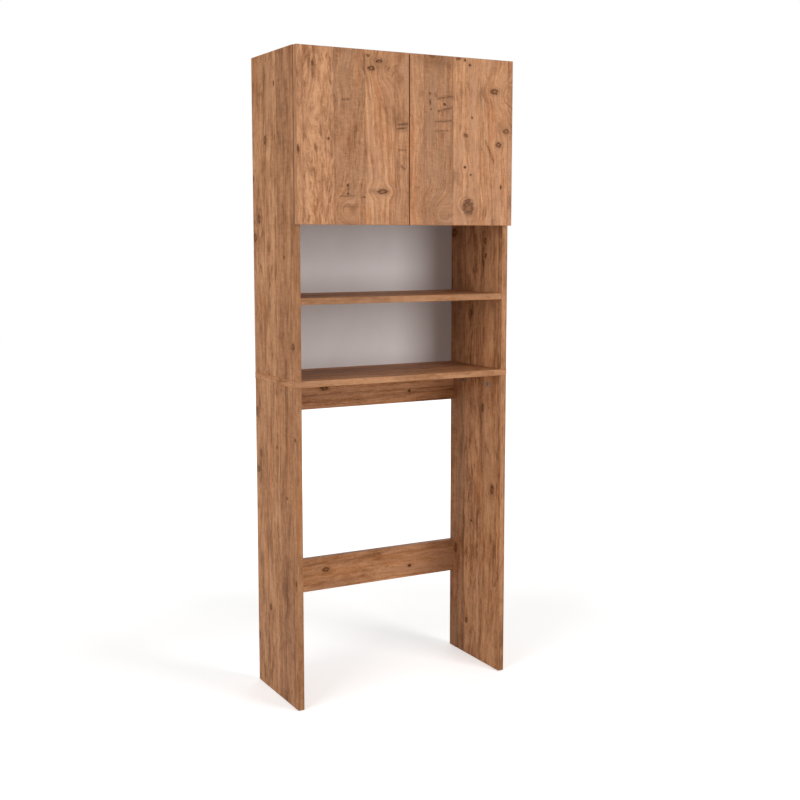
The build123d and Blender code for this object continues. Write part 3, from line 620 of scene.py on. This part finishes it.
# Marks in the print of each board. A knot or smudge has its place as shares of the board's width across
# the grain and its length along it, then its width and height in millimetres, and its darkness.
RAIL_KNOT_SHARES = (
    (0.600, 0.300, 14, 24, 0.85),
    (0.350, 0.750, 9, 12, 0.90),
)
KNOT_SHARES = {
    "left_door": (
        (0.629, 0.966, 13, 7, 1.0),
        (0.654, 0.896, 21, 13, 1.0),
        (0.725, 0.940, 22, 9, 0.9),
        (0.715, 0.925, 62, 36, 0.50),
        (0.780, 0.915, 52, 60, 0.25),
        (0.755, 0.194, 30, 14, 1.0),
        (0.690, 0.196, 40, 11, 0.55),
        (0.443, 0.226, 7, 7, 1.0),
        (0.446, 0.178, 7, 6, 0.9),
        (0.274, 0.488, 6, 7, 1.0),
        (0.395, 0.080, 34, 50, 0.0),
        (0.418, 0.845, 32, 44, 0.28),
        (0.400, 0.985, 30, 11, 0.50),
        (0.346, 0.900, 8, 36, 0.35),
        (0.905, 0.835, 22, 26, 0.50),
        (0.900, 0.618, 24, 26, 0.58),
        (0.955, 0.650, 9, 60, 0.45),
        (0.012, 0.424, 8, 22, 0.8),
        (0.140, 0.900, 8, 16, 0.7),
        (0.110, 0.880, 6, 30, 0.55),
        (0.165, 0.965, 9, 24, 0.38),
        (0.105, 0.610, 22, 60, 0.28),
        (0.585, 0.160, 12, 5, 0.7),
    ),
    "right_door": (
        (0.209, 0.993, 22, 7, 1.0),
        (0.458, 0.990, 14, 7, 1.0),
        (0.522, 0.983, 8, 7, 0.9),
        (0.570, 0.957, 9, 7, 1.0),
        (0.276, 0.962, 84, 30, 0.60),
        (0.230, 0.985, 54, 14, 0.60),
        (0.815, 0.810, 27, 15, 1.0),
        (0.923, 0.800, 34, 44, 0.0),
        (0.677, 0.795, 16, 24, 0.60),
        (0.189, 0.775, 6, 6, 0.8),
        (0.189, 0.724, 5, 15, 0.8),
        (0.200, 0.684, 5, 5, 0.8),
        (0.328, 0.717, 9, 8, 1.0),
        (0.594, 0.647, 5, 6, 0.9),
        (0.933, 0.575, 19, 15, 0.8),
        (0.862, 0.491, 18, 14, 1.0),
        (0.535, 0.540, 12, 8, 1.0),
        (0.527, 0.350, 8, 8, 1.0),
        (0.585, 0.305, 6, 6, 0.8),
        (0.557, 0.152, 16, 7, 1.0),
        (0.561, 0.108, 38, 42, 0.80),
        (0.548, 0.124, 20, 12, 0.90),
        (0.276, 0.066, 44, 52, 0.12),
        (0.400, 0.330, 26, 90, 0.28),
        (0.887, 0.233, 6, 12, 0.8),
    ),
    "left_upper_side": (
        (0.680, 0.945, 21, 50, 0.57),
        (0.850, 0.882, 20, 44, 0.57),
        (0.445, 0.903, 8, 14, 0.75),
        (0.300, 0.822, 21, 50, 0.47),
        (0.300, 0.729, 21, 50, 0.52),
        (0.670, 0.738, 20, 26, 0.85),
        (0.990, 0.620, 15, 24, 0.85),
        (0.850, 0.494, 21, 26, 0.90),
        (0.955, 0.435, 22, 24, 0.75),
        (0.234, 0.376, 10, 7, 1.00),
        (0.685, 0.197, 22, 54, 0.59),
        (0.620, 0.230, 14, 50, 0.47),
        (0.836, 0.147, 21, 44, 0.59),
        (0.050, 0.105, 20, 20, 0.90),
    ),
    "left_leg_panel": (
        (0.980, 0.894, 18, 24, 0.80),
        (0.000, 0.842, 21, 11, 0.90),
        (0.460, 0.800, 9, 11, 0.75),
        (0.870, 0.763, 18, 26, 0.75),
        (0.940, 0.707, 22, 20, 0.80),
        (0.230, 0.652, 10, 7, 1.00),
        (0.670, 0.479, 21, 60, 0.59),
        (0.470, 0.441, 10, 26, 0.52),
        (0.855, 0.417, 18, 44, 0.59),
        (0.000, 0.400, 21, 15, 0.90),
        (0.300, 0.352, 21, 50, 0.49),
        (0.670, 0.272, 16, 20, 0.85),
        (0.300, 0.262, 21, 50, 0.52),
        (0.990, 0.154, 15, 24, 0.90),
        (0.835, 0.036, 18, 30, 0.52),
    ),
    "right_upper_side": (
        (0.320, 0.423, 16, 20, 0.95),
        (0.315, 0.375, 13, 14, 0.95),
        (0.300, 0.400, 24, 60, 0.47),
        (0.940, 0.452, 26, 28, 0.90),
        (0.930, 0.147, 18, 40, 0.59),
        (0.580, 0.179, 12, 16, 0.85),
        (0.700, 0.640, 16, 26, 0.85),
        (0.250, 0.780, 14, 22, 0.90),
        (0.520, 0.900, 20, 60, 0.50),
        (0.120, 0.560, 16, 50, 0.50),
        (0.820, 0.960, 10, 14, 0.80),
    ),
    "right_leg_panel": (
        (0.350, 0.880, 14, 22, 0.85),
        (0.780, 0.730, 20, 60, 0.55),
        (0.150, 0.610, 18, 26, 0.90),
        (0.560, 0.480, 9, 9, 1.00),
        (0.880, 0.360, 16, 30, 0.80),
        (0.300, 0.270, 20, 50, 0.52),
        (0.650, 0.120, 14, 20, 0.90),
    ),
    "bottom_board": (
        (0.200, 0.420, 10, 60, 0.59),
        (0.450, 0.700, 14, 26, 0.85),
        (0.700, 0.250, 12, 40, 0.59),
        (0.000, 0.560, 8, 16, 0.80),
        (0.120, 0.880, 9, 20, 0.75),
    ),
    "niche_shelf": (
        (0.000, 0.700, 10, 14, 0.90),
        (0.350, 0.450, 12, 30, 0.59),
        (0.500, 0.150, 10, 20, 0.85),
        (0.000, 0.930, 8, 22, 0.59),
    ),
    "upper_rear_rail": RAIL_KNOT_SHARES,
    "lower_rear_rail": RAIL_KNOT_SHARES,
}

# A crack has its place in the same shares, its length and width in millimetres, and its slant in degrees
CRACK_SHARES = {
    "left_door": (
        (0.942, 0.588, 38, 6.5, 5),
        (0.935, 0.564, 36, 5.5, 9),
        (0.725, 0.942, 24, 5.0, 28),
        (0.810, 0.900, 14, 3.5, 58),
        (0.850, 0.870, 16, 2.5, 62),
        (0.785, 0.912, 9, 3.0, 50),
        (0.940, 0.437, 32, 1.8, -3),
        (0.946, 0.335, 20, 2.6, -35),
        (0.445, 0.200, 22, 2.0, 90),
        (0.440, 0.165, 54, 1.8, 2),
        (0.425, 0.712, 26, 2.0, 6),
    ),
    "right_door": (
        (0.333, 0.757, 58, 3.2, 9),
        (0.240, 0.768, 16, 2.6, -60),
        (0.330, 0.687, 56, 2.4, 14),
        (0.317, 0.617, 64, 2.2, 5),
        (0.300, 0.560, 50, 1.6, 3),
        (0.773, 0.447, 78, 2.4, -64),
    ),
}


class Board:
    """One board: its node, its grain frame, the side of it that shows, and where its print is cut."""

    def __init__(self, node, axes, show, joint, raw_side=0, coarse=1.0):
        self.node = node
        self.order = ["XYZ".index(axis) for axis in axes]
        self.show = show
        self.joint = joint
        self.raw_side = raw_side
        self.coarse = coarse

    def grain_frame(self, vector):
        """A point in metres, as (across, through, along)."""
        return tuple(vector[axis] for axis in self.order)

    def place(self, across_share, along_share):
        """A place on the board's face, in its grain frame."""
        low, high = (self.grain_frame(corner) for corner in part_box(self.node))
        across = low[0] + across_share * (high[0] - low[0])
        along = low[2] + along_share * (high[2] - low[2])
        return {"Across": across, "Along": along}

    def marks(self, sheet, groups, common, broken):
        """All knots and cracks of the board, by the names of their outputs."""
        found = dict.fromkeys(("Pull", "Heart", "Rim", "Stain", "Line"), 0.0)

        def gather(mark, *names):
            for name in names:
                found[name] = sheet.math("MAXIMUM", found[name], mark[name])

        for across_share, along_share, width, height, darkness in KNOT_SHARES.get(self.node, ()):
            knot = sheet.call(
                groups["knot"],
                **common,
                **self.place(across_share, along_share),
                Half_Width=width * MM / 2,
                Half_Height=height * MM / 2,
                Darkness=darkness,
            )
            found["Pull"] = sheet.total(found["Pull"], knot["Pull"])
            gather(knot, "Heart", "Rim", "Stain")
        for across_share, along_share, length, width, slant in CRACK_SHARES.get(self.node, ()):
            crack = sheet.call(
                groups["crack"],
                **common,
                **self.place(across_share, along_share),
                Broken=broken,
                Length=length * MM,
                Width=width * MM,
                Slant=math.radians(slant),
            )
            gather(crack, "Line", "Stain")
        return found


def boards():
    """Every board of the cabinet, with the way its grain runs and where its print is cut."""
    door = dict(axes="XYZ", show=-1, joint=46.6 * MM)
    upright = dict(axes="YXZ", show=-1, raw_side=1, coarse=2.0)
    level = dict(axes="YZX", show=1)
    rail = dict(axes="ZYX", show=-1)
    # The left side's print is cut 8 planks further on, and the right side's 3 more
    left_joint = (-114.3 - 8 * PLANK_WIDTH) * MM
    right_joint = left_joint - 3 * PLANK_WIDTH * MM
    return (
        Board("left_door", **door),
        Board("right_door", **door),
        Board("left_upper_side", joint=left_joint, **upright),
        Board("left_leg_panel", joint=left_joint, **upright),
        Board("right_upper_side", joint=right_joint, **upright),
        Board("right_leg_panel", joint=right_joint, **upright),
        Board("bottom_board", joint=12 * MM, **level),
        Board("niche_shelf", joint=-50 * MM, **level),
        Board("cupboard_floor", joint=30 * MM, **level),
        Board("top_panel", joint=-8 * MM, **level),
        Board("cupboard_shelf", joint=70 * MM, **level),
        Board("upper_rear_rail", joint=20 * MM, **rail),
        Board("lower_rear_rail", joint=55 * MM, **rail),
    )


def give(node_name, material):
    """Every slot of a CAD node takes this material."""
    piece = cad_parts[node_name]
    if not piece.material_slots:
        piece.data.materials.append(None)
    for slot in piece.material_slots:
        slot.material = material


def finish_board(board, groups, decor):
    """Printed foil for one board, with its own knots and cracks, edge bands tinted with a painted
    highlight, and raw bores.
    """
    seam_place = 0.8 * MM
    sheet = MaterialSheet(f"{board.node} foil")
    parts = sheet.split(sheet.place)
    sides = sheet.split(sheet.facing)
    place = sheet.join(*[parts[axis] for axis in board.order])
    low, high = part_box(board.node)
    faces = sheet.call(
        groups["faces"],
        Place=place,
        Facing=sheet.join(*[sides[axis] for axis in board.order]),
        Low=board.grain_frame(low),
        High=board.grain_frame(high),
        Show=board.show,
    )
    edge = faces["Edge"]
    ragged = sheet.minus(sheet.noise(faces["Print"], 170, 3.0, 0.6), 0.5)
    broken = sheet.fit(sheet.noise(faces["Print"], 420), 0.34, 0.5)
    marks = board.marks(sheet, groups, {"Print": faces["Print"], "Ragged": ragged}, broken)
    foil = sheet.call(
        groups["foil"], Print=faces["Print"], Pull=marks["Pull"], Joint=board.joint, Coarse=board.coarse
    )
    # Amber line within a millimetre of every edge: partly the edge band's own tone, partly a painted
    # highlight along the edge
    band = sheet.fit(edge, 1.0 * MM, 0.7 * MM)
    seam = sheet.fit(sheet.math("ABSOLUTE", sheet.minus(edge, seam_place)), 0.25 * MM, 0.05 * MM)
    edge_side, _, _ = sheet.split(faces["Facing"])
    worn = sheet.times(sheet.fit(edge, 0.5 * MM, 0.1 * MM), broken)
    colour = sheet.layers(
        foil["Colour"],
        (marks["Stain"], 0.8, decor.stain),
        (marks["Heart"], 0.75, decor.knot),
        (marks["Rim"], 0.95, decor.dark),
        (marks["Line"], 0.85, decor.dark),
        (band, 0.55, decor.amber),
        (seam, 0.45, decor.dark),
        (sheet.math("ABSOLUTE", edge_side), 0.30, decor.grey),
        (worn, 0.3, decor.light),
    )
    chips = sheet.call(groups["chipboard"], Place=place, Colour=decor.chipboard)
    raw = faces["Bore"]
    if board.raw_side:
        raw = sheet.math("MAXIMUM", raw, sheet.times(edge_side, board.raw_side))
    colour = sheet.blend(raw, colour, chips["Colour"])
    height = sheet.total(
        foil["Height"],
        sheet.times(marks["Line"], -1.5),
        sheet.times(marks["Rim"], -0.6),
        sheet.times(seam, -1.0),
        sheet.times(sheet.times(raw, chips["Height"]), 2.0),
    )
    rough = sheet.times_plus(raw, 0.3, foil["Roughness"])
    is_door = "door" in board.node
    gloss = 0.15 if is_door else 0.06
    give(board.node, sheet.finish(colour, rough, height, 0.12 * MM, 0.4, Specular_IOR_Level=gloss))


# Each metal: its colour, its lines a metre along each axis, its dullness, its roughness, and the depth of
# its lines in millimetres
METALS = {
    "nickel plate": ("nickel", (300, 2400, 2400), 0.14, 0.26, 0.012),
    "ground pins": ("nickel", (2600, 2600, 300), 0.12, 0.18, 0.01),
    "zinc plated screws": ("bright", (1800, 1800, 1800), 0.3, 0.3, 0.02),
    "cast zinc": ("zinc", (1500, 1500, 1500), 0.35, 0.46, 0.05),
    "drawn nails": ("zinc", (2600, 300, 2600), 0.4, 0.36, 0.02),
}


def metal_material(name, hardware):
    """One of the worn metals."""
    colour, stretch, dullness, roughness, depth = METALS[name]
    sheet = MaterialSheet(name)
    worn = sheet.call(
        metal_group(),
        Place=sheet.place,
        Stretch=stretch,
        Colour=getattr(hardware, colour),
        Dull_Colour=hardware.tarnish,
        Dullness=dullness,
        Roughness=roughness,
    )
    return sheet.finish(worn["Colour"], worn["Roughness"], worn["Height"], depth * MM, 0.3, Metallic=1.0)


def galvanised_material(hardware):
    """Hot-dip zinc: flat crystals of slightly different grey, each with its own gloss."""
    bloom_grey = (0.72, 0.72, 0.72)
    sheet = MaterialSheet("galvanised steel")
    _, tones = sheet.cells(sheet.place, (420, 420, 420))
    cloud = sheet.noise(sheet.place, 160, 3.0)
    shaded = sheet.blend(0.35, hardware.galvanised, hardware.tarnish)
    bloom = sheet.fit(cloud, 0.55, 0.75, 0.0, 0.35)
    colour = sheet.layers(hardware.galvanised, (tones[0], 0.8, shaded))
    colour = sheet.blend(bloom, colour, bloom_grey)
    rough = sheet.times_plus(tones[1], 0.18, sheet.times_plus(bloom, 0.5, 0.34))
    height = sheet.times_plus(cloud, 0.6, sheet.times(tones[2], 0.4))
    return sheet.finish(colour, rough, height, 0.05 * MM, 0.35, Metallic=1.0)


def beech_material(hardware):
    """Turned beech, with the short dark rays that this wood has."""
    sheet = MaterialSheet("beech")
    fibre = sheet.noise(sheet.place, (240, 1400, 1400), 3.0, 0.6)
    rays = sheet.fit(sheet.noise(sheet.place, (520, 2600, 2600)), 0.58, 0.68)
    shaded = sheet.darker(hardware.beech, (0.62, 0.5, 0.4))
    colour = sheet.blend(sheet.fit(fibre, 0.3, 0.7, 0.0, 0.45), hardware.beech, shaded)
    colour = sheet.layers(colour, (rays, 0.6, shaded))
    rough = sheet.fit(fibre, 0.3, 0.7, 0.58, 0.72)
    return sheet.finish(colour, rough, sheet.times_plus(rays, -0.5, fibre), 0.06 * MM, 0.5)


def glide_material(hardware):
    """Moulded plastic with a fine spark-eroded grain, scuffed grey where it slides."""
    sheet = MaterialSheet("glide plastic")
    grain = sheet.noise(sheet.place, 2400)
    scuffs = sheet.fit(sheet.noise(sheet.place, (90, 900, 300), 3.0, 0.6), 0.52, 0.68)
    scuffed = sheet.darker(hardware.glide, (0.55, 0.53, 0.50))
    colour = sheet.layers(hardware.glide, (scuffs, 0.4, scuffed))
    rough = sheet.times_plus(scuffs, 0.2, sheet.fit(grain, 0.3, 0.7, 0.42, 0.52))
    return sheet.finish(colour, rough, grain, 0.03 * MM, 0.4)


def bumper_material(hardware):
    """Clear soft plastic that has picked up a little dust."""
    sheet = MaterialSheet("bumper rubber")
    dust = sheet.fit(sheet.noise(sheet.place, 1500, 3.0, 0.6), 0.5, 0.7)
    dusty = sheet.darker(hardware.bumper, (0.7, 0.68, 0.64))
    colour = sheet.blend(dust, hardware.bumper, dusty)
    rough = sheet.fit(dust, 0.0, 1.0, 0.16, 0.4)
    return sheet.finish(colour, rough, dust, 0.02 * MM, 0.3, Transmission_Weight=0.7, IOR=1.46)


def panel_material(hardware):
    """The back panel: lacquered in front, bare pressed fibres behind and along its edges."""
    sheet = MaterialSheet("back panel")
    place = sheet.place
    _, towards_back, _ = sheet.split(sheet.facing)
    is_front = sheet.math("LESS_THAN", towards_back, -0.5)
    soft = sheet.noise(place, (14, 14, 9), 3.0, 0.55)
    peel = sheet.noise(place, 520)
    shaded = sheet.darker(hardware.panel, (0.965, 0.957, 0.952))
    lacquer = sheet.blend(sheet.fit(soft, 0.3, 0.7), hardware.panel, shaded)
    pressed = sheet.total(
        sheet.times(sheet.noise(place, 700, 4.0, 0.7), 0.6),
        sheet.times(sheet.noise(place, 90, 4.0, 0.6), 0.35),
        sheet.times(sheet.noise(place, 1800, 1.0), 0.1),
    )
    dark_fibre = sheet.darker(hardware.hardboard, (0.62, 0.56, 0.50))
    bare = sheet.blend(sheet.fit(pressed, 0.38, 0.66), dark_fibre, hardware.hardboard)
    colour = sheet.blend(is_front, bare, lacquer)
    rough = sheet.fit(is_front, 0.0, 1.0, 0.85, sheet.fit(peel, 0.3, 0.7, 0.5, 0.58))
    smoothed = sheet.minus(sheet.times(peel, 0.15), pressed)
    height = sheet.total(pressed, sheet.times(is_front, smoothed))
    return sheet.finish(colour, rough, height, 0.15 * MM, 0.5, Specular_IOR_Level=0.2)


def dress(nodes, material):
    """Every one of these CAD nodes wears the material."""
    for node in nodes:
        give(node, material)


def both(*names):
    """The nodes of these names that the left and right doors both have."""
    return [f"{side}_{name}" for name in names for side in ("left", "right")]


class CABINET_OT_boards(bpy.types.Operator):
    """Give every board its printed foil"""

    bl_idname = "cabinet.boards"
    bl_label = "Boards"

    def execute(self, context):
        decor = context.scene.cabinet_decor
        groups = {
            "faces": face_group(),
            "knot": knot_group(),
            "crack": crack_group(),
            "planks": plank_group(),
            "grain": grain_group(),
            "chipboard": chipboard_group(),
        }
        groups["foil"] = foil_group(groups, decor)
        for board in boards():
            finish_board(board, groups, decor)
        return {"FINISHED"}


class CABINET_OT_back_panel(bpy.types.Operator):
    """Lacquer the back panel's face and leave its rear bare"""

    bl_idname = "cabinet.back_panel"
    bl_label = "Back panel"

    def execute(self, context):
        dress(["back_panel"], panel_material(context.scene.cabinet_hardware))
        return {"FINISHED"}


class CABINET_OT_hinges(bpy.types.Operator):
    """Plate the hinges, all pins and all screws"""

    bl_idname = "cabinet.hinges"
    bl_label = "Hinges"

    def execute(self, context):
        hardware = context.scene.cabinet_hardware
        hinges = both("hinge_cups", "hinge_arms", "mounting_plates")
        pins = [*both("hinge_pins"), "shelf_pins"]
        screws = [*both("cup_screws", "plate_screws", "arm_screws"), "bracket_screws", "long_screws"]
        dress(hinges, metal_material("nickel plate", hardware))
        dress(pins, metal_material("ground pins", hardware))
        dress(screws, metal_material("zinc plated screws", hardware))
        return {"FINISHED"}


class CABINET_OT_connectors(bpy.types.Operator):
    """Finish the cam locks, their bolts, the dowels and the back nails"""

    bl_idname = "cabinet.connectors"
    bl_label = "Connectors"

    def execute(self, context):
        hardware = context.scene.cabinet_hardware
        dress(["cam_locks", "cam_bolts"], metal_material("cast zinc", hardware))
        dress(["back_nails"], metal_material("drawn nails", hardware))
        dress(["wooden_dowels"], beech_material(hardware))
        return {"FINISHED"}


class CABINET_OT_fittings(bpy.types.Operator):
    """Finish the wall brackets, the glides and the door bumpers"""

    bl_idname = "cabinet.fittings"
    bl_label = "Brackets, glides and bumpers"

    def execute(self, context):
        hardware = context.scene.cabinet_hardware
        dress(["wall_brackets"], galvanised_material(hardware))
        dress(["floor_glides"], glide_material(hardware))
        dress(["door_bumpers"], bumper_material(hardware))
        return {"FINISHED"}


class CABINET_OT_stage(bpy.types.Operator):
    """Add the floor, the lamps and the camera"""

    bl_idname = "cabinet.stage"
    bl_label = "Stage"

    def execute(self, context):
        settings = context.scene.cabinet_stage
        add_floor(settings)
        add_sky(context.scene, settings)
        for name, (place, width, height, power) in LAMPS.items():
            add_lamp(name, place, width, height, getattr(settings, power))
        add_camera(context.scene)
        context.scene.view_settings.view_transform = "Standard"
        return {"FINISHED"}


def seen_directly(sheet):
    """1 for what the camera, a mirror or a glass shows, 0 for the light that falls on things."""
    path = sheet.add("ShaderNodeLightPath").outputs
    seen = sheet.math("MAXIMUM", path["Is Camera Ray"], path["Is Glossy Ray"])
    return sheet.math("MAXIMUM", seen, path["Is Transmission Ray"])


def add_floor(settings):
    """A plain pale floor that shows white to the camera and keeps the cabinet's shadow."""
    near = 0.9
    far = 3.0
    mesh = bpy.data.meshes.new("floor")
    shape = bmesh.new()
    bmesh.ops.create_grid(shape, x_segments=1, y_segments=1, size=settings.floor_width / 2)
    shape.to_mesh(mesh)
    shape.free()
    floor = bpy.data.objects.new("floor", mesh)
    bpy.context.scene.collection.objects.link(floor)
    sheet = MaterialSheet("pale floor")
    matt = sheet.put("ShaderNodeBsdfDiffuse", settings.floor_colour)
    distance = sheet.put("ShaderNodeVectorMath", sheet.place, operation="LENGTH", output=1)
    white = sheet.fit(distance, near, far, settings.near_glow, settings.far_glow)
    glow = sheet.put("ShaderNodeEmission", WHITE, sheet.times(seen_directly(sheet), white))
    sheet.end("ShaderNodeOutputMaterial", sheet.put("ShaderNodeAddShader", matt, glow))
    mesh.materials.append(sheet.material)


def add_sky(scene, settings):
    """Even light from all sides, and a white background."""
    world = bpy.data.worlds.new("studio")
    world.use_nodes = True
    sheet = NodeSheet(world.node_tree)
    strength = sheet.fit(seen_directly(sheet), 0.0, 1.0, settings.sky, 1.0)
    sheet.end("ShaderNodeOutputWorld", sheet.put("ShaderNodeBackground", WHITE, strength))
    scene.world = world


# Where every lamp looks, and each one's place, width and height in metres, and the setting of its power
LAMP_TARGET = (0.0, 0.0, 1.2)
KEY_REACH = 3.4
KEY_ANGLE = math.radians(26.5)
KEY_PLACE = (KEY_REACH * math.sin(KEY_ANGLE), -KEY_REACH * math.cos(KEY_ANGLE), 1.5)
LAMPS = {
    "key lamp": (KEY_PLACE, 1.4, 2.0, "key_power"),
    "rear lamp": ((1.8, 3.0, 2.0), 2.4, 2.0, "rear_power"),
    "side lamp": ((-2.8, -1.3, 1.85), 1.9, 2.4, "side_power"),
}


def add_lamp(name, place, width, height, power):
    """One rectangular lamp that looks at the cabinet."""
    lamp = bpy.data.lights.new(name, "AREA")
    lamp.shape = "RECTANGLE"
    lamp.size = width
    lamp.size_y = height
    lamp.energy = power
    piece = bpy.data.objects.new(name, lamp)
    piece.location = place
    piece.rotation_mode = "QUATERNION"
    piece.rotation_quaternion = (Vector(LAMP_TARGET) - Vector(place)).to_track_quat("-Z", "Y")
    bpy.context.scene.collection.objects.link(piece)


def add_camera(scene):
    """The camera at the photograph's viewing angle, left of the front and a little below the top."""
    turn = math.radians(-28.64)
    tilt = math.radians(-6.69)
    lens = bpy.data.cameras.new("camera")
    lens.sensor_width = 36.0
    lens.lens = 54.84
    lens.shift_y = -0.025
    lens.clip_end = 100.0
    camera = bpy.data.objects.new("camera", lens)
    camera.location = (-1.6446, -3.1114, 1.3033)
    camera.rotation_euler = (math.pi / 2 + tilt, 0.0, turn)
    scene.collection.objects.link(camera)
    scene.camera = camera


class CABINET_PT_tools(bpy.types.Panel):
    """The cabinet's steps and settings"""

    bl_idname = "CABINET_PT_tools"
    bl_label = "Tall cabinet"
    bl_space_type = "VIEW_3D"
    bl_region_type = "UI"
    bl_category = "Cabinet"

    def draw(self, context):
        column = self.layout.column(align=True)
        for step in STEPS:
            column.operator(step.bl_idname)
        for group in ("cabinet_decor", "cabinet_hardware", "cabinet_stage"):
            settings = getattr(context.scene, group)
            box = self.layout.box()
            for name in settings.__annotations__:
                box.prop(settings, name)


STEPS = (
    CABINET_OT_boards,
    CABINET_OT_back_panel,
    CABINET_OT_hinges,
    CABINET_OT_connectors,
    CABINET_OT_fittings,
    CABINET_OT_stage,
)
CLASSES = (CabinetDecorSettings, CabinetHardwareSettings, CabinetStageSettings, *STEPS, CABINET_PT_tools)


def register():
    for entry in CLASSES:
        bpy.utils.register_class(entry)
    bpy.types.Scene.cabinet_decor = PointerProperty(type=CabinetDecorSettings)
    bpy.types.Scene.cabinet_hardware = PointerProperty(type=CabinetHardwareSettings)
    bpy.types.Scene.cabinet_stage = PointerProperty(type=CabinetStageSettings)


def unregister():
    del bpy.types.Scene.cabinet_stage
    del bpy.types.Scene.cabinet_hardware
    del bpy.types.Scene.cabinet_decor
    for entry in reversed(CLASSES):
        bpy.utils.unregister_class(entry)


def plain(corners):
    """Two corners as plain lists of numbers."""
    return [list(corner) for corner in corners]


def main():
    """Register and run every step."""
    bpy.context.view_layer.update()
    register()
    bpy.ops.cabinet.boards()
    bpy.ops.cabinet.back_panel()
    bpy.ops.cabinet.hinges()
    bpy.ops.cabinet.connectors()
    bpy.ops.cabinet.fittings()
    bpy.ops.cabinet.stage()


if __name__ == "__main__":
    main()
